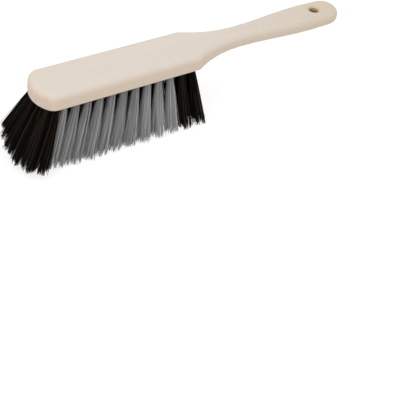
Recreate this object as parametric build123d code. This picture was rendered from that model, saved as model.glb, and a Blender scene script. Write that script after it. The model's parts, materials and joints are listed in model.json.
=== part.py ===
from build123d import *
import math
import os

# Hand brush for sweeping: one beech board cut to a head and a handle, with tufts of bristles in drilled holes.
# Lengths are millimetres and angles are degrees. The layout is worked out with x running from the toe of the
# wood to the end of the handle, y across the brush and z up from the tips that stand on the floor.

# The board and its head
wood_length = 288.5
board_thickness = 13.2
head_length = 137.5
head_width = 40.0
toe_depth = 13.5
toe_corner_radius = 10.0
head_top_radius = 5.2
head_arris_radius = 1.5

# The neck and the handle
shoulder_run = 47.0
neck_width = 18.8
grip_width = 27.8
grip_to_end = 33.5
grip_thickness = 12.4
handle_edge_radius = 6.0
end_radius = 13.2
edge_radius_limit_share = 0.46
neck_curve_power = 2.2
neck_section_shares = (0.0, 0.09, 0.19, 0.3, 0.42, 0.56, 0.74, 1.0)
grip_section_shares = (0.2, 0.4, 0.6, 0.8, 1.0)
end_section_shares = (0.5, 1.0)

# The hanging hole
hanging_hole_diameter = 8.5
hanging_hole_chamfer = 1.2
hanging_hole_to_end = 23.7

# The drilled holes and the rows of tufts
tuft_hole_width = 4.5
tuft_hole_sides = 8
tuft_hole_depth = 8.0
tuft_edge_margin = 4.7
first_row_setback = 6.5
heel_margin = 5.3
rim_wall = 1.7
heel_closing_pitch = 7.2
row_count = 12
black_heel_rows = 2

# How the tufts fan out
toe_angle = 28.0
toe_side_angle = 16.5
front_angle = 13.0
heel_angle = 9.5
side_angle = 8.0
fan_power = 1.7

# The bristles
bristle_height = 51.0
toe_trim_start = 35.0
toe_trim_radius = 150.0
strands_round_a_tuft = 6
strand_sides = 3
strand_root_radius = 0.62
strand_tip_radius = 0.42
strand_root_depth = 1.0
strand_wall_gap = 0.13
tuft_tip_ring = 4.0
plug_clearance = 0.05

# The flat wire anchors
anchor_bite = 0.5
anchor_height = 2.4
anchor_thickness = 0.6
anchor_clearance = 0.05

# Every cutting tool runs past the wood by this much
cut_overrun = 4.0

# Places that follow from the sizes
underside = bristle_height
board_top = underside + board_thickness
half_head = head_width / 2
neck_x = head_length + shoulder_run
grip_x = wood_length - grip_to_end
end_centre_x = wood_length - end_radius
hanging_hole_x = wood_length - hanging_hole_to_end
corner_centre_y = half_head - toe_corner_radius
toe_front_chord_square = toe_depth**2 + corner_centre_y**2 - toe_corner_radius**2
toe_front_radius = toe_front_chord_square / (toe_depth - toe_corner_radius) / 2
toe_join_angle = math.atan2(corner_centre_y, toe_front_radius - toe_depth)
quarter_turn = math.pi / 2
outer_row_y = half_head - tuft_edge_margin
rim_front_run = toe_join_angle * (toe_front_radius - tuft_edge_margin)
rim_corner_run = (quarter_turn - toe_join_angle) * (toe_corner_radius - tuft_edge_margin)
rim_half_run = rim_front_run + rim_corner_run + first_row_setback
rim_steps = int(rim_half_run / (tuft_hole_width + rim_wall))
rim_pitch = rim_half_run / rim_steps
first_row_x = toe_depth + first_row_setback
last_row_x = head_length - heel_margin
tuft_pitch = (last_row_x - first_row_x) / (row_count - 1)
tuft_root_ring = tuft_hole_width / 2 - strand_root_radius - strand_wall_gap


def between(low, high, share):
    return low + (high - low) * share


def eased(share):
    """A share from 0 to 1 that starts and ends gently."""
    return (1 - math.cos(math.pi * share)) / 2


def toe_place(angle, inset):
    """Point of the toe's outline, moved inwards by the inset, at an angle from straight ahead."""
    if abs(angle) <= toe_join_angle:
        radius = toe_front_radius - inset
        return toe_front_radius - radius * math.cos(angle), radius * math.sin(angle)
    radius = toe_corner_radius - inset
    centre_y = math.copysign(corner_centre_y, angle)
    return toe_depth - radius * math.cos(angle), centre_y + radius * math.sin(angle)


def toe_arc(start, end):
    """Arc of the toe's outline between two angles."""
    return ThreePointArc(*[toe_place(angle, 0) for angle in (start, (start + end) / 2, end)])


def head_board():
    """The head up to the shoulder: a blunt round toe, parallel sides, a rounded top and a small lower arris.

    The edge where the handle joins it comes last along the brush and stays sharp.
    """
    outline = [
        Line((head_length, half_head), (toe_depth, half_head)),
        toe_arc(quarter_turn, toe_join_angle),
        toe_arc(toe_join_angle, -toe_join_angle),
        toe_arc(-toe_join_angle, -quarter_turn),
        Line((toe_depth, -half_head), (head_length, -half_head)),
        Line((head_length, -half_head), (head_length, half_head)),
    ]
    head = extrude(Pos(0, 0, underside) * make_face(outline), amount=board_thickness)
    top_edges = head.edges().group_by(Axis.Z)[-1].sort_by(Axis.X)[:-1]
    head = fillet(top_edges, head_top_radius)
    low_edges = head.edges().group_by(Axis.Z)[0].sort_by(Axis.X)[:-1]
    return fillet(low_edges, head_arris_radius)


def handle_half_width(x):
    """The handle narrows in a hollow curve behind the shoulder, then swells to the grip."""
    if x <= neck_x:
        share = min(1, (x - head_length) / shoulder_run)
        return between(neck_width / 2, half_head, (1 - share) ** neck_curve_power)
    if x <= grip_x:
        return between(neck_width / 2, grip_width / 2, eased((x - neck_x) / (grip_x - neck_x)))
    return between(grip_width / 2, end_radius, eased((x - grip_x) / (end_centre_x - grip_x)))


def handle_thickness(x):
    share = min(1, (x - head_length) / (grip_x - head_length))
    return between(board_thickness, grip_thickness, eased(share))


def handle_edge_radii(x):
    """Radii on the underside and on the top, which change from those of the head to the handle's own."""
    limit = edge_radius_limit_share * handle_thickness(x)
    share = min(1, (x - head_length) / shoulder_run)
    low = between(head_arris_radius, handle_edge_radius, 1 - (1 - share) ** 2)
    top = between(head_top_radius, handle_edge_radius, eased(share))
    return min(low, limit), min(top, limit)


def quarter_round(x, centre, start, end, radius):
    """Quarter of a circle in the cross plane at x, from one direction to the next."""
    places = []
    for share in (0, 0.5, 1):
        angle = between(start, end, share)
        places.append((x, centre[0] + radius * math.cos(angle), centre[1] + radius * math.sin(angle)))
    return ThreePointArc(*places)


def handle_side(x, side):
    """The rounded side of the handle's section at x, from its underside to its top."""
    half = handle_half_width(x)
    low_z = board_top - handle_thickness(x)
    low, top = handle_edge_radii(x)
    outward = 0 if side > 0 else math.pi
    low_centre = (side * (half - low), low_z + low)
    top_centre = (side * (half - top), board_top - top)
    return [
        quarter_round(x, low_centre, -quarter_turn, -outward, low),
        Line((x, side * half, low_centre[1]), (x, side * half, top_centre[1])),
        quarter_round(x, top_centre, outward, quarter_turn, top),
    ]


def handle_section(x):
    """Closed section of the handle at x."""
    near = handle_side(x, -1)
    far = handle_side(x, 1)
    top_line = Line(near[-1] @ 1, far[-1] @ 1)
    low_line = Line(near[0] @ 0, far[0] @ 0)
    return Wire([*near, top_line, *far, low_line])


def handle_board():
    """The neck and the grip, lofted in short straight runs, with a round end turned about its upright middle."""
    places = [between(head_length, neck_x, share) for share in neck_section_shares]
    places += [between(neck_x, grip_x, share) for share in grip_section_shares]
    places += [between(grip_x, end_centre_x, share) for share in end_section_shares]
    grip = Solid.make_loft([handle_section(x) for x in places], ruled=True)
    side = handle_side(end_centre_x, 1)
    low_z = board_top - handle_thickness(end_centre_x)
    axis_low = (end_centre_x, 0, low_z)
    axis_top = (end_centre_x, 0, board_top)
    inner_lines = [Line(side[-1] @ 1, axis_top), Line(axis_top, axis_low), Line(axis_low, side[0] @ 0)]
    half_section = Face(Wire([*side, *inner_lines]))
    end = revolve(half_section, Axis(axis_low, (0, 0, -1)), revolution_arc=180)
    return grip, end


def hanging_hole_cutter():
    """The hole for a hook, with a chamfer at each mouth."""
    wall_x = hanging_hole_x + hanging_hole_diameter / 2
    wide_x = wall_x + hanging_hole_chamfer + cut_overrun
    low_z = board_top - handle_thickness(hanging_hole_x)
    half_profile = Polyline(
        (hanging_hole_x, low_z - cut_overrun),
        (wide_x, low_z - cut_overrun),
        (wall_x, low_z + hanging_hole_chamfer),
        (wall_x, board_top - hanging_hole_chamfer),
        (wide_x, board_top + cut_overrun),
        (hanging_hole_x, board_top + cut_overrun),
        close=True,
    )
    return revolve(Plane.XZ * make_face(half_profile), Axis((hanging_hole_x, 0, 0), (0, 0, 1)))


def tuft_plane(x, y, along, across, anchor_way):
    """Plane at the mouth of a tuft's hole: its z follows the bristles, its x the wire anchor of the tuft."""
    direction = Vector(math.tan(math.radians(along)), math.tan(math.radians(across)), -1).normalized()
    return Plane(
        origin=(x, y, underside), x_dir=anchor_way - direction * anchor_way.dot(direction), z_dir=direction
    )


def lean_along(x):
    """Lean of a tuft along the brush: forwards at the toe, upright past the middle, backwards at the heel."""
    if x < first_row_x:
        return -between(front_angle, toe_angle, (first_row_x - x) / (first_row_x - tuft_edge_margin))
    share = (x - first_row_x) / (last_row_x - first_row_x)
    return between(-front_angle, heel_angle, share**fan_power)


def row_tuft(x, y):
    """Tuft of a straight row, leaning outwards by its distance from the middle row."""
    return tuft_plane(x, y, lean_along(x), side_angle * y / outer_row_y, Vector(0, 1, 0))


def rim_tuft(distance):
    """Tuft on the curve of the toe, at a distance along it from the middle."""
    travel = abs(distance)
    if travel <= rim_front_run:
        angle = travel / (toe_front_radius - tuft_edge_margin)
    else:
        angle = toe_join_angle + (travel - rim_front_run) / (toe_corner_radius - tuft_edge_margin)
    angle = math.copysign(min(angle, quarter_turn), distance)
    x, y = toe_place(angle, tuft_edge_margin)
    x += max(0, travel - rim_front_run - rim_corner_run)
    anchor_way = Vector(1, 0, 0) if abs(angle) < quarter_turn / 2 else Vector(0, 1, 0)
    return tuft_plane(x, y, lean_along(x), toe_side_angle * y / outer_row_y, anchor_way)


def tuft_groups():
    """Every tuft's plane, grouped by cross row from the toe to the heel, which two more tufts close."""
    inner_row_y = outer_row_y / 2
    rim = [rim_tuft(number * rim_pitch) for number in range(1 - rim_steps, rim_steps)]
    toe_middle_x = (tuft_edge_margin + first_row_x) / 2
    toe_inner_x = first_row_x - tuft_pitch / 2
    groups = {
        "toe_front_tufts": rim[1:-1],
        "toe_corner_tufts": [rim[0], rim[-1]],
        "toe_inner_tufts": [
            row_tuft(toe_middle_x, 0),
            row_tuft(toe_inner_x, -inner_row_y),
            row_tuft(toe_inner_x, inner_row_y),
        ],
    }
    grey_count = 0
    black_count = 0
    for half_step in range(2 * row_count - 1):
        x = first_row_x + half_step * tuft_pitch / 2
        ys = (-outer_row_y, 0, outer_row_y) if half_step % 2 == 0 else (-inner_row_y, inner_row_y)
        if half_step < 2 * (row_count - black_heel_rows) - 1:
            grey_count += 1
            name = f"grey_tufts_{grey_count:02d}"
        else:
            black_count += 1
            name = f"heel_tufts_{black_count}"
        groups[name] = [row_tuft(x, y) for y in ys]
    closing_x = last_row_x - tuft_pitch / 2 + heel_closing_pitch
    groups[name] += [row_tuft(closing_x, y) for y in (-inner_row_y, inner_row_y)]
    return groups


def trim_height(root, aim):
    """Height at which a bristle from root towards aim is trimmed: the floor, or the round trim at the toe."""
    floor_share = root.Z / (root.Z - aim.Z)
    if between(root.X, aim.X, floor_share) >= toe_trim_start:
        return 0.0
    step_x = aim.X - root.X
    step_z = aim.Z - root.Z
    from_x = root.X - toe_trim_start
    from_z = root.Z - toe_trim_radius
    a = step_x**2 + step_z**2
    b = from_x * step_x + from_z * step_z
    c = from_x**2 + from_z**2 - toe_trim_radius**2
    return root.Z + step_z * (math.sqrt(b**2 - a * c) - b) / a


def strand_line(plane, number):
    """Root and aim of one strand: number 0 is the middle of the tuft and the rest stand round it."""
    angle = 2 * math.pi * number / strands_round_a_tuft
    root_ring = tuft_root_ring if number else 0
    tip_ring = tuft_tip_ring if number else 0
    root = plane.from_local_coords((root_ring * math.cos(angle), root_ring * math.sin(angle), 0))
    aim = plane.from_local_coords((tip_ring * math.cos(angle), tip_ring * math.sin(angle), bristle_height))
    share = (root.Z - underside) / (root.Z - aim.Z)
    return root + (aim - root) * share, aim


def strand(plane, number):
    """One three-sided strand, from inside the packed root of its tuft to its trimmed tip."""
    root, aim = strand_line(plane, number)
    per_height = (aim - root) * (1 / (root.Z - aim.Z))
    start = root - per_height * strand_root_depth
    tip = root + per_height * (root.Z - trim_height(root, aim))
    low, top = [
        [Vector(*corner) for corner in (Pos(*place) * RegularPolygon(radius, strand_sides)).vertices()]
        for place, radius in ((start, strand_root_radius), (tip, strand_tip_radius))
    ]
    sides = [[low[k - 1], low[k], top[k], top[k - 1]] for k in range(strand_sides)]
    return Solid(Shell([Face(Wire.make_polygon(corners)) for corners in [low, top, *sides]]))


def anchor_block(plane, clearance):
    """The flat wire across the blind end of a hole, grown by a clearance."""
    block = Box(
        tuft_hole_width + 2 * (anchor_bite + clearance),
        anchor_thickness + 2 * clearance,
        anchor_height + 2 * clearance,
        align=(Align.CENTER, Align.CENTER, Align.MIN),
    )
    return plane.offset(-tuft_hole_depth - clearance) * block


def tuft_core(plane, clearance):
    """The space of a drilled hole with a flat end, less a clearance, in few faces; it runs on past the mouth."""
    outline = RegularPolygon(tuft_hole_width / 2 - clearance, tuft_hole_sides, major_radius=False)
    return plane.offset(clearance - tuft_hole_depth) * extrude(outline, amount=tuft_hole_depth + cut_overrun)


def tuft(plane):
    """Bristles packed and folded in their hole, then spreading to the trimmed tips, as one solid."""
    plug = tuft_core(plane, plug_clearance).split(Plane((0, 0, underside)), keep=Keep.TOP)
    plug -= anchor_block(plane, anchor_clearance)
    return plug.fuse(*[strand(plane, number) for number in range(strands_round_a_tuft + 1)])


groups = tuft_groups()
planes = [plane for group in groups.values() for plane in group]
wood = head_board().fuse(*handle_board())
wood = wood.cut(
    hanging_hole_cutter(),
    *[tuft_core(plane, 0) for plane in planes],
    *[anchor_block(plane, anchor_clearance) for plane in planes],
)
nodes = {"wooden_body": [wood], "tuft_anchors": [anchor_block(plane, 0) for plane in planes]}
for name, group in groups.items():
    nodes[name] = [tuft(plane) for plane in group]

# The row of tips furthest forward and the end of the handle are as far from the part's own origin
front_x = min(solid.bounding_box().min.X for name in groups for solid in nodes[name])
to_part_frame = Pos(-(front_x + wood_length) / 2, 0, 0)

os.makedirs("parts", exist_ok=True)
for name, solids in nodes.items():
    placed = [to_part_frame * solid for solid in solids]
    export_step(placed[0] if len(placed) == 1 else Compound(placed), f"parts/{name}.step")
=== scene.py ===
import json
import math

import bmesh
import bpy
from mathutils import Matrix, Vector


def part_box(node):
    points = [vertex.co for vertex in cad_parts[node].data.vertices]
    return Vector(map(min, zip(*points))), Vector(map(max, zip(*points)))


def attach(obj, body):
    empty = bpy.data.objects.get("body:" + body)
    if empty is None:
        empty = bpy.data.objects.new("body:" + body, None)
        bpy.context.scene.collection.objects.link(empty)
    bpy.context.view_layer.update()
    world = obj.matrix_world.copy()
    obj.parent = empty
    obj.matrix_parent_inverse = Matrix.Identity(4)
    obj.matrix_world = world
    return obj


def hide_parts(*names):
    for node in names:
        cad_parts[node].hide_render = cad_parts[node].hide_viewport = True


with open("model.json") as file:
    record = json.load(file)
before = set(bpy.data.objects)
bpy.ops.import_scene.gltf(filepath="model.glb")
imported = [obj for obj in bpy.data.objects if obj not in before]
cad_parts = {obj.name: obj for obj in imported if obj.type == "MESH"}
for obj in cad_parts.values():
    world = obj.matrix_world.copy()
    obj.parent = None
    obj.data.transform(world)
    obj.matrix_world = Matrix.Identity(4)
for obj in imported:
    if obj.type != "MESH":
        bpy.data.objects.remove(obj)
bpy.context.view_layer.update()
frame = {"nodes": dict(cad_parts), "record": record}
nodes = frame["nodes"]


# Beech board
# One flat piece of pale, unvarnished beech: a blunt head with a rounded top edge, a hollow waist and a handle
# with a hanging hole. It is sawn along the grain, routed round its edges and sanded.
class Value:
    """A socket of a node tree. Sums on it add Math nodes, or Vector Math where it is a vector."""

    def __init__(self, tree, socket=None):
        self.tree = tree
        self.socket = socket

    def node(self, kind, settings=None, out=0, **inputs):
        """A node of this kind in the same tree: its settings first, then values or links on its sockets.

        A socket is given by its name, with _ for a space, or as at_ and its number.
        """
        made = self.tree.nodes.new(kind)
        for name, setting in (settings or {}).items():
            setattr(made, name, setting)
        for name, value in inputs.items():
            socket = made.inputs[int(name[3:]) if name.startswith("at_") else name.replace("_", " ")]
            if isinstance(value, Value):
                self.tree.links.new(value.socket, socket)
            else:
                socket.default_value = value
        return Value(self.tree, made.outputs[out])

    def output(self, name):
        """Another output of the node that this value comes from."""
        return Value(self.tree, self.socket.node.outputs[name])

    def parts(self):
        """The x, y and z of a vector."""
        split = self.node("ShaderNodeSeparateXYZ", Vector=self)
        return [split.output(axis) for axis in "XYZ"]

    def math(self, operation, *others, out=0):
        """A sum of this value and others, by the name of its operation."""
        kind = "ShaderNodeVectorMath" if self.socket.type == "VECTOR" else "ShaderNodeMath"
        sockets = {f"at_{place}": value for place, value in enumerate((self, *others))}
        return self.node(kind, {"operation": operation}, out, **sockets)

    def __add__(self, other):
        return self.math("ADD", other)

    __radd__ = __add__

    def __sub__(self, other):
        return self.math("SUBTRACT", other)

    def __rsub__(self, other):
        return self * -1.0 + other

    def __mul__(self, other):
        if self.socket.type == "VECTOR":
            return self.node("ShaderNodeVectorMath", {"operation": "SCALE"}, at_0=self, Scale=other)
        return self.math("MULTIPLY", other)

    __rmul__ = __mul__

    def __truediv__(self, other):
        return self.math("DIVIDE", other)

    def __pow__(self, other):
        return self.math("POWER", other)

    def __abs__(self):
        return self.math("ABSOLUTE")

    def from_range(self, low, high, new_low=0.0, new_high=1.0, way="LINEAR"):
        """The value moved from one range to another and held inside it."""
        return self.node(
            "ShaderNodeMapRange", {"interpolation_type": way},
            at_0=self, at_1=low, at_2=high, at_3=new_low, at_4=new_high,
        )

    def colour_to(self, first, second):
        """A colour between two, by this value."""
        settings = {"data_type": "RGBA", "clamp_factor": True}
        return self.node("ShaderNodeMix", settings, out=2, at_0=self, at_6=first, at_7=second)


def new_material(name):
    """An empty material, its shader, and a value from which its nodes are made."""
    material = bpy.data.materials.new(name)
    material.use_nodes = True
    return material, material.node_tree.nodes["Principled BSDF"], Value(material.node_tree)


def feed(node, name, value):
    """Links a value to one of a node's sockets."""
    value.tree.links.new(value.socket, node.inputs[name])


def beech_material(hole_place, hole_radius):
    """Pale beech: faint growth bands along the board, short darker flecks, and fine pores in the sanded face.

    The routed edges and the sides are warmer than the top, partly in the sanded wood's own tone and partly as
    painted shade, and the end grain most of all. Painted shade makes the handle darker and warmer towards its
    end. The wall of the hole has a painted lit rim at its mouth and painted shade that gets darker with its
    depth.
    """
    pale = (0.745, 0.672, 0.600, 1.0)
    pale_band = (0.712, 0.624, 0.537, 1.0)
    # The sides' and routed edges' own warmer tone, darkened as painted shade
    warm_side_and_shade = (0.690, 0.560, 0.445, 1.0)
    end_grain = (0.640, 0.490, 0.375, 1.0)
    # Painted shade: darker and warmer towards the handle's end
    handle_end_shade = (0.640, 0.540, 0.415, 1.0)
    # Painted light on the hole's rim and painted shade deep inside the hole
    lit_hole_mouth = (0.800, 0.545, 0.350, 1.0)
    hole_depth_shade = (0.130, 0.062, 0.022, 1.0)
    fleck = (0.50, 0.36, 0.25, 1.0)
    neck_x = 0.02
    handle_end_x = 0.155
    rim_inside = hole_radius + 0.00005
    rim_outside = hole_radius + 0.00065
    mouth_height = 0.005
    material, shader, start = new_material("beech")
    place = start.node("ShaderNodeTexCoord", out="Object")

    def grain(stretch, detail, roughness):
        """Noise with so many waves to the metre along, across and through the board."""
        stretched = start.node("ShaderNodeMapping", Vector=place, Scale=stretch)
        return start.node(
            "ShaderNodeTexNoise", Vector=stretched, Scale=1.0, Detail=detail, Roughness=roughness
        )

    bands = grain((2.2, 60.0, 34.0), 4.0, 0.55).from_range(0.35, 0.65)
    lines = grain((14.0, 620.0, 620.0), 5.0, 0.6).from_range(0.35, 0.7)
    flecks = grain((230.0, 1900.0, 1300.0), 1.0, 0.4).from_range(0.66, 0.74)
    pores = grain((900.0, 1500.0, 1500.0), 2.0, 0.6)
    mottle = start.node("ShaderNodeTexNoise", Vector=place, Scale=260.0, Detail=3.0, Roughness=0.65)

    facing_x, _, facing_z = start.node("ShaderNodeTexCoord", out="Normal").parts()
    ends = abs(facing_x).from_range(0.35, 1.0) * mottle.from_range(0.38, 0.62)
    edges = (1.0 - abs(facing_z).from_range(0.25, 0.97)) ** 1.4
    colour = (bands * 0.3 + lines * 0.25).colour_to(pale, pale_band)
    # Sides and routed edges: warmer wood, plus painted shade that darkens them against the top
    colour = (edges * 0.75 + bands * 0.1).colour_to(colour, warm_side_and_shade)
    colour = (ends * 0.9).colour_to(colour, end_grain)
    along, _, up = place.parts()
    # Painted shade that grows towards the handle's end
    colour = (along.from_range(neck_x, handle_end_x) * 0.6).colour_to(colour, handle_end_shade)

    # The hole's wall: a painted lit rim at the mouth and painted shade that darkens with depth
    off_axis = (place - hole_place).math("MULTIPLY", (1.0, 1.0, 0.0)).math("LENGTH", out="Value")
    in_hole = 1.0 - off_axis.from_range(rim_inside, rim_outside)
    near_mouth = up.from_range(hole_place[2], hole_place[2] + mouth_height)
    colour = in_hole.colour_to(colour, near_mouth.colour_to(hole_depth_shade, lit_hole_mouth))
    colour = (flecks * 0.28).colour_to(colour, fleck)
    feed(shader, "Base Color", colour)
    feed(shader, "Roughness", lines.from_range(0.0, 1.0, 0.5, 0.64))
    height = lines * -0.5 + flecks * -0.5 + pores * 0.3
    feed(shader, "Normal", start.node("ShaderNodeBump", Strength=0.12, Distance=0.0002, Height=height))
    shader.inputs["Specular IOR Level"].default_value = 0.35
    return material


hanging_hole = frame["record"]["mounts"][0]
board = nodes["wooden_body"]
board.data.materials.clear()
board.data.materials.append(beech_material(hanging_hole["pos_m"], hanging_hole["dims"]["r_mm"] / 1000))
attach(board, "root")


# Bristles
# Seventy tufts of straight synthetic bristles, folded in half and driven into drilled holes. The long middle
# is grey; the toe and the last rows at the heel are black. The tufts fan out at the toe. The tips are trimmed
# level with the floor, and a little higher round the toe.
def tuft_mouths(node, underside):
    """Mouth and direction of each tuft of a node, from toe to heel, read from the blind end of its plug."""
    same_place = 1e-6
    same_level = 1e-5
    same_facing = 0.9999
    mesh = bmesh.new()
    mesh.from_mesh(node.data)
    bmesh.ops.remove_doubles(mesh, verts=mesh.verts, dist=same_place)
    found = set()
    mouths = []
    for first in mesh.verts:
        if first in found:
            continue
        found.add(first)
        solid = [first]
        # The list grows along the edges until it has every corner of this plug and its strands
        for corner in solid:
            for link in corner.link_edges:
                other = link.other_vert(corner)
                if other not in found:
                    found.add(other)
                    solid.append(other)
        faces = list(dict.fromkeys(face for corner in solid for face in corner.link_faces))
        end = max(faces, key=lambda face: face.calc_center_median().z)
        end.normal_update()
        level = [
            face
            for face in faces
            if face.normal.dot(end.normal) > same_facing
            and abs((face.calc_center_median() - end.calc_center_median()).dot(end.normal)) < same_level
        ]
        whole = sum(face.calc_area() for face in level)
        centre = sum((face.calc_center_median() * face.calc_area() for face in level), Vector()) / whole
        mouth = centre + end.normal * ((underside - centre.z) / end.normal.z)
        mouths.append((mouth, -end.normal))
    mesh.free()
    return sorted(mouths, key=lambda tuft: (round(tuft[0].x, 4), round(tuft[0].y, 4)))


def bristle_tree():
    """Geometry nodes that grow a spreading tuft of fine bristles from every point, along its direction."""
    tree = bpy.data.node_groups.new("bristle tufts", "GeometryNodeTree")
    inputs = {
        "Geometry": ["Geometry"],
        "Int": ["Bristles", "Segments", "Seed"],
        "Float": [
            "Thickness", "Root Radius", "Root Depth", "Tip Radius", "Cling", "Stray", "Ragged",
            "Sweep", "Sweep Start", "Sweep Full", "Sweep Fade", "Sweep End", "Corner Reach", "Gather",
            "Trim Start", "Trim Radius", "Trim Share", "Trim Tilt", "Corner Rise",
        ],
        "Material": ["Material"],
    }
    for kind, names in inputs.items():
        for name in names:
            tree.interface.new_socket(name, in_out="INPUT", socket_type="NodeSocket" + kind)
    tree.interface.new_socket("Geometry", in_out="OUTPUT", socket_type="NodeSocketGeometry")
    start = Value(tree)
    given = start.node("NodeGroupInput").output

    def chance(low, high, identity, step):
        """A draw between two numbers for each bristle or lock, with a step of the seed for each use."""
        return start.node(
            "FunctionNodeRandomValue", {"data_type": "FLOAT"}, out=1,
            at_2=low, at_3=high, ID=identity, Seed=given("Seed") + step,
        )

    def few(identity, step):
        """A draw that is next to nothing for most and near 1 for a few."""
        return chance(0.0, 1.0, identity, step) ** 4.0

    def vector(x, y, z):
        return start.node("ShaderNodeCombineXYZ", X=x, Y=y, Z=z)

    def mixed(first, second, amount):
        return first * (1.0 - amount) + second * amount

    def copied(geometry, amount):
        return start.node(
            "GeometryNodeDuplicateElements", {"domain": "POINT"}, Geometry=geometry, Amount=amount
        )

    def stored(geometry, name, value):
        return start.node(
            "GeometryNodeStoreNamedAttribute", {"data_type": "FLOAT", "domain": "POINT"},
            Geometry=geometry, Name=name, Value=value,
        )

    def named(name, kind="FLOAT"):
        return start.node("GeometryNodeInputNamedAttribute", {"data_type": kind}, Name=name)

    # A point for each tuft, copied for each bristle, and that copied for each stop along the bristle
    index = start.node("GeometryNodeInputIndex")
    points = start.node("GeometryNodeMeshToPoints", Mesh=given("Geometry"))
    points = copied(stored(points, "tuft", index), given("Bristles"))
    points = stored(points, "place in tuft", points.output("Duplicate Index"))
    points = copied(stored(points, "bristle", index), given("Segments") + 1.0)
    points = stored(points, "along", points.output("Duplicate Index") / given("Segments"))
    tuft = named("tuft")
    place_in_tuft = named("place in tuft")
    bristle = named("bristle")
    along = named("along")
    down = named("direction", "FLOAT_VECTOR")
    across = down.math("CROSS_PRODUCT", (1.0, 0.0, 0.0)).math("NORMALIZE")
    onward = across.math("CROSS_PRODUCT", down)

    def away(angle):
        """A step square to the tuft, turned by this angle."""
        return across * angle.math("COSINE") + onward * angle.math("SINE")

    # Even packing in the round hole: each bristle sits a golden angle on from the one before it
    golden_angle = math.pi * (3 - math.sqrt(5))
    turn_of_tuft = 1.7
    loose = 0.35
    reach = ((place_in_tuft + 0.5) / given("Bristles")) ** 0.5
    angle = place_in_tuft * golden_angle + tuft * turn_of_tuft + chance(-loose, loose, bristle, 1)
    own_root = away(angle) * (reach * given("Root Radius"))
    own_tip = away(angle) * (reach * (given("Tip Radius") * chance(0.86, 1.06, bristle, 2)))

    # Neighbours in a tuft cling together towards their tips, in an outer and an inner ring of locks
    full_turn = 2 * math.pi
    locks_in_ring = 6
    lock_turn = full_turn / locks_in_ring
    inner_share = 0.36
    outer_share = 0.84
    between_rings = (inner_share + outer_share) / 2
    lock_number = (angle.math("FLOORED_MODULO", full_turn) / lock_turn).math("FLOOR")
    outer = reach.math("GREATER_THAN", between_rings)
    # Each turn takes two numbers, one for each ring, and 16 to a tuft leave room for all of them
    lock = tuft * 16.0 + (lock_number * 2.0 + outer)
    lock_angle = (lock_number + chance(0.2, 0.8, lock, 7)) * lock_turn
    lock_reach = (outer * (outer_share - inner_share) + inner_share) * chance(0.85, 1.1, lock, 8)
    lock_tip = away(lock_angle) * (lock_reach * given("Tip Radius"))
    cling = given("Cling") * chance(0.3, 1.0, bristle, 9)

    # Some bristles stray, those at the front sweep forward, and those at the corners are drawn in
    home = start.node("GeometryNodeInputPosition")
    home_x, home_y, _ = home.parts()
    stray = given("Stray") * few(bristle, 3)
    stray_way = chance(0.0, full_turn, bristle, 4)
    from_toe = home_x - given("Sweep Start")
    sweep = from_toe.from_range(0.0, given("Sweep Full"), 0.0, given("Sweep"), "SMOOTHSTEP")
    sweep = from_toe.from_range(given("Sweep Fade"), given("Sweep End"), sweep, 0.0, "SMOOTHSTEP")
    sideways = home_y / given("Corner Reach")
    gather = sideways ** 5.0 * given("Gather")
    aside = vector(stray * stray_way.math("COSINE"), stray * stray_way.math("SINE"), 0.0)
    aside = aside - vector(sweep, gather, 0.0)

    # Each bristle runs to the trim, which lies on the floor and curves up towards the toe. Most tips end near
    # it, a few end short of it, and those of a lock end a little short of it together.
    down_x, _, down_z = down.parts()
    fall = down_z * -1.0
    line_x, line_y, line_z = (home + (mixed(own_tip, lock_tip, cling) + aside)).parts()
    floor_x = line_x + down_x * (line_z / fall)
    ahead = (given("Trim Start") - floor_x).math("MAXIMUM", 0.0)
    rise = given("Trim Radius") - (given("Trim Radius") ** 2.0 - ahead ** 2.0).math("SQRT")
    tilted = line_y * given("Trim Tilt") + given("Trim Share") + sideways ** 4.0 * given("Corner Rise")
    uneven = few(bristle, 5) + chance(0.0, 1.0, lock, 10) * 0.2
    tip_z = rise * tilted + uneven * given("Ragged")
    run = (line_z - tip_z) / fall
    # It opens out steadily and bends aside towards its tip
    travelled = along.from_range(0.0, 1.0, given("Root Depth") * -1.0, run)
    spread = mixed(own_root, mixed(own_tip, lock_tip, cling * along), along ** 0.9)
    place = home + down * travelled + spread + aside * along ** 1.4
    points = start.node("GeometryNodeSetPosition", Geometry=points, Position=place)
    points = stored(points, "shade", chance(0.0, 1.0, bristle, 6))

    # Three-sided strands that thin a little from half way to their tips
    strands = start.node("GeometryNodePointsToCurves", Points=points, Curve_Group_ID=bristle, Weight=along)
    profile = start.node("GeometryNodeCurvePrimitiveCircle", {"mode": "RADIUS"}, Resolution=3, Radius=1.0)
    half = given("Thickness") * 0.5
    taper = along.from_range(0.5, 1.0, half, half * 0.7)
    mesh = start.node(
        "GeometryNodeCurveToMesh", Curve=strands, Profile_Curve=profile, Fill_Caps=True, Scale=taper
    )
    mesh = start.node("GeometryNodeSetShadeSmooth", Geometry=mesh, Shade_Smooth=True)
    mesh = start.node("GeometryNodeRealizeInstances", Geometry=mesh)
    mesh = start.node("GeometryNodeSetMaterial", Geometry=mesh, Material=given("Material"))
    feed(tree.nodes.new("NodeGroupOutput"), "Geometry", mesh)
    return tree


def bristle_material(name, root, tip, light, gloss):
    """Matt synthetic bristle, darker towards its root deep in the tuft by painted shade, and each bristle a
    slightly different tone.
    """
    material, shader, start = new_material(name)
    shade = start.node("ShaderNodeAttribute", {"attribute_name": "shade"}, out="Fac")
    along = start.node("ShaderNodeAttribute", {"attribute_name": "along"}, out="Fac")
    # Painted shade: the root colour is the shaded end of each bristle, and it fades to the tip colour
    colour = along.from_range(0.0, 0.6).colour_to(root, tip)
    feed(shader, "Base Color", (shade ** 4.0 * 0.9).colour_to(colour, light))
    shader.inputs["Roughness"].default_value = 0.6
    shader.inputs["Specular IOR Level"].default_value = gloss
    return material


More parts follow.
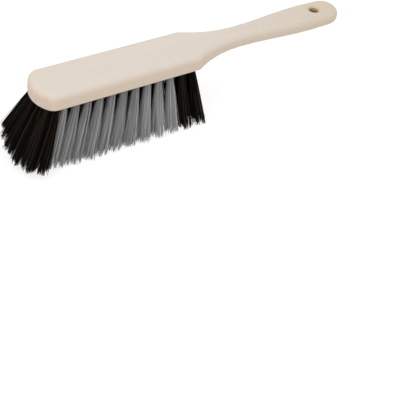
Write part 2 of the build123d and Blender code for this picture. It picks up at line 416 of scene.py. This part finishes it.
def grow(name, first_word, material, seed, bristles, tip_radius, gather=0.0):
    """One piece of bristles in place of the tufts whose nodes start with this word."""
    replaced = sorted(node for node in nodes if node.startswith(first_word))
    mouths = [mouth for node in replaced for mouth in tuft_mouths(nodes[node], board_underside)]
    mesh = bpy.data.meshes.new(name)
    mesh.from_pydata([mouth for mouth, _ in mouths], [], [])
    direction = mesh.attributes.new("direction", "FLOAT_VECTOR", "POINT")
    for point, (_, way) in zip(direction.data, mouths):
        point.vector = way
    points = bpy.data.objects.new(name + "_points", mesh)
    bpy.context.scene.collection.objects.link(points)
    modifier = points.modifiers.new("bristles", "NODES")
    modifier.node_group = tufts
    # The trim rises by Trim Share of its round at the middle of the toe, by Trim Tilt more for each metre to
    # the side, and by Corner Rise more at the corners
    sizes = {
        "Bristles": bristles,
        "Segments": 4,
        "Seed": seed,
        "Thickness": 0.00048,
        "Root Radius": 0.00215,
        "Root Depth": 0.0015,
        "Tip Radius": tip_radius,
        "Cling": 0.5,
        "Stray": 0.0024,
        "Ragged": 0.0022,
        "Sweep": 0.0045,
        "Sweep Start": toe_x + 0.004,
        "Sweep Full": 0.011,
        "Sweep Fade": 0.050,
        "Sweep End": 0.122,
        "Corner Reach": 0.015,
        "Gather": gather,
        "Trim Start": toe_x + 0.035,
        "Trim Radius": 0.150,
        "Trim Share": 0.78,
        "Trim Tilt": 24.0,
        "Corner Rise": 0.5,
        "Material": material,
    }
    for socket in tufts.interface.items_tree:
        if socket.in_out == "INPUT" and socket.name in sizes:
            modifier[socket.identifier] = sizes[socket.name]
    points.update_tag()
    view = bpy.context.evaluated_depsgraph_get()
    grown = bpy.data.meshes.new_from_object(points.evaluated_get(view))
    grown.name = name
    bpy.data.objects.remove(points)
    piece = bpy.data.objects.new(name, grown)
    bpy.context.scene.collection.objects.link(piece)
    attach(piece, "root")
    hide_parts(*replaced)


board_low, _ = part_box("wooden_body")
toe_x = board_low[0]
board_underside = board_low[2]
tufts = bristle_tree()
grey = bristle_material(
    "grey bristle",
    # The root colour is painted shade, darker than the bristle's tip
    root=(0.25, 0.25, 0.25, 1),
    tip=(0.42, 0.42, 0.42, 1),
    light=(0.60, 0.60, 0.60, 1),
    gloss=0.25,
)
black = bristle_material(
    "black bristle",
    # The root colour is painted shade, darker than the bristle's tip
    root=(0.0020, 0.0012, 0.0008, 1),
    tip=(0.0035, 0.0024, 0.0017, 1),
    light=(0.068, 0.049, 0.035, 1),
    gloss=0.07,
)
grow("grey_bristles", "grey_tufts", grey, seed=14, bristles=150, tip_radius=0.0066)
grow(
    "toe_bristles", "toe_", black, seed=24, bristles=200, tip_radius=0.0062, gather=0.0006
)
grow("heel_bristles", "heel_", black, seed=40, bristles=180, tip_radius=0.0065)


# Wire anchors
# A short flat piece of steel wire across the blind end of each hole holds the fold of its tuft.
def anchor_material():
    """Bright drawn wire with a faint streak along it."""
    material, shader, start = new_material("anchor wire")
    place = start.node("ShaderNodeTexCoord", out="Object")
    stretched = start.node("ShaderNodeMapping", Vector=place, Scale=(900.0, 120.0, 900.0))
    streak = start.node("ShaderNodeTexNoise", Vector=stretched, Scale=1.0, Detail=2.0)
    feed(shader, "Base Color", streak.colour_to((0.48, 0.48, 0.49, 1), (0.62, 0.62, 0.63, 1)))
    feed(shader, "Roughness", streak.from_range(0.2, 0.8, 0.28, 0.42))
    shader.inputs["Metallic"].default_value = 1.0
    return material


anchors = nodes["tuft_anchors"]
anchors.data.materials.clear()
anchors.data.materials.append(anchor_material())
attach(anchors, "root")


# Floor, light and camera
# A plain white floor that keeps the brush's shadow, a large soft lamp over the camera's left shoulder and a
# pale surround; the camera looks down along the brush from its toe side.
def white_floor(half_side, paint, glow_strength, glow_share):
    """Matt white, lifted for the camera so that it shows as white and keeps a pale shadow."""
    mesh = bpy.data.meshes.new("floor")
    corners = [(x * half_side, y * half_side, 0) for x, y in ((-1, -1), (1, -1), (1, 1), (-1, 1))]
    mesh.from_pydata(corners, [], [(0, 1, 2, 3)])
    floor = bpy.data.objects.new("floor", mesh)
    bpy.context.scene.collection.objects.link(floor)
    material, shader, start = new_material("floor")
    shader.inputs["Base Color"].default_value = (paint, paint, paint, 1)
    shader.inputs["Roughness"].default_value = 1.0
    shader.inputs["Specular IOR Level"].default_value = 0.0
    painted = Value(material.node_tree, shader.outputs["BSDF"])
    glow = start.node("ShaderNodeEmission", Color=(1, 1, 1, 1), Strength=glow_strength)
    seen = start.node("ShaderNodeLightPath", out="Is Camera Ray")
    surface = start.node("ShaderNodeMixShader", at_0=seen * glow_share, at_1=painted, at_2=glow)
    feed(material.node_tree.nodes["Material Output"], "Surface", surface)
    mesh.materials.append(material)


def soft_lamp(name, place, aim, size, power):
    """A square area lamp that faces its aim."""
    light = bpy.data.lights.new(name, "AREA")
    light.size = size
    light.energy = power
    lamp = bpy.data.objects.new(name, light)
    lamp.location = place
    lamp.rotation_mode = "QUATERNION"
    lamp.rotation_quaternion = (Vector(aim) - Vector(place)).to_track_quat("-Z", "Y")
    bpy.context.scene.collection.objects.link(lamp)


white_floor(half_side=6.0, paint=0.90, glow_strength=1.17, glow_share=0.65)
soft_lamp("key", place=(-0.6, -0.3, 1.4), aim=(0.0, 0.0, 0.03), size=0.9, power=6.0)

surround_light = (0.8, 0.8, 0.8, 1)
surround_seen = (1, 1, 1, 1)
world = bpy.data.worlds.new("surround")
world.use_nodes = True
seen = Value(world.node_tree).node("ShaderNodeLightPath", out="Is Camera Ray")
feed(world.node_tree.nodes["Background"], "Color", seen.colour_to(surround_light, surround_seen))
bpy.context.scene.world = world
bpy.context.scene.view_settings.view_transform = "Standard"

# The camera's place was found by setting the board's outline against the photograph
azimuth = math.radians(-39.108)
elevation = math.radians(44.105)
roll = math.radians(9.269)
distance = 0.62432
aim = Vector((-0.0866, -0.15856, 0.060))
image_height = 416
focal_pixels = 941.5
back = Vector(
    (math.sin(azimuth) * math.cos(elevation), -math.cos(azimuth) * math.cos(elevation), math.sin(elevation))
)
level_right = Vector((math.cos(azimuth), math.sin(azimuth), 0.0))
level_up = back.cross(level_right)
picture_right = level_right * math.cos(roll) + level_up * math.sin(roll)
picture_up = level_up * math.cos(roll) - level_right * math.sin(roll)
sight = bpy.data.cameras.new("camera")
sight.sensor_width = 36.0
sight.lens = sight.sensor_width * focal_pixels / image_height
camera = bpy.data.objects.new("camera", sight)
turned = Matrix((picture_right, picture_up, back)).transposed().to_4x4()
camera.matrix_world = Matrix.Translation(aim + back * distance) @ turned
bpy.context.scene.collection.objects.link(camera)
bpy.context.scene.camera = camera
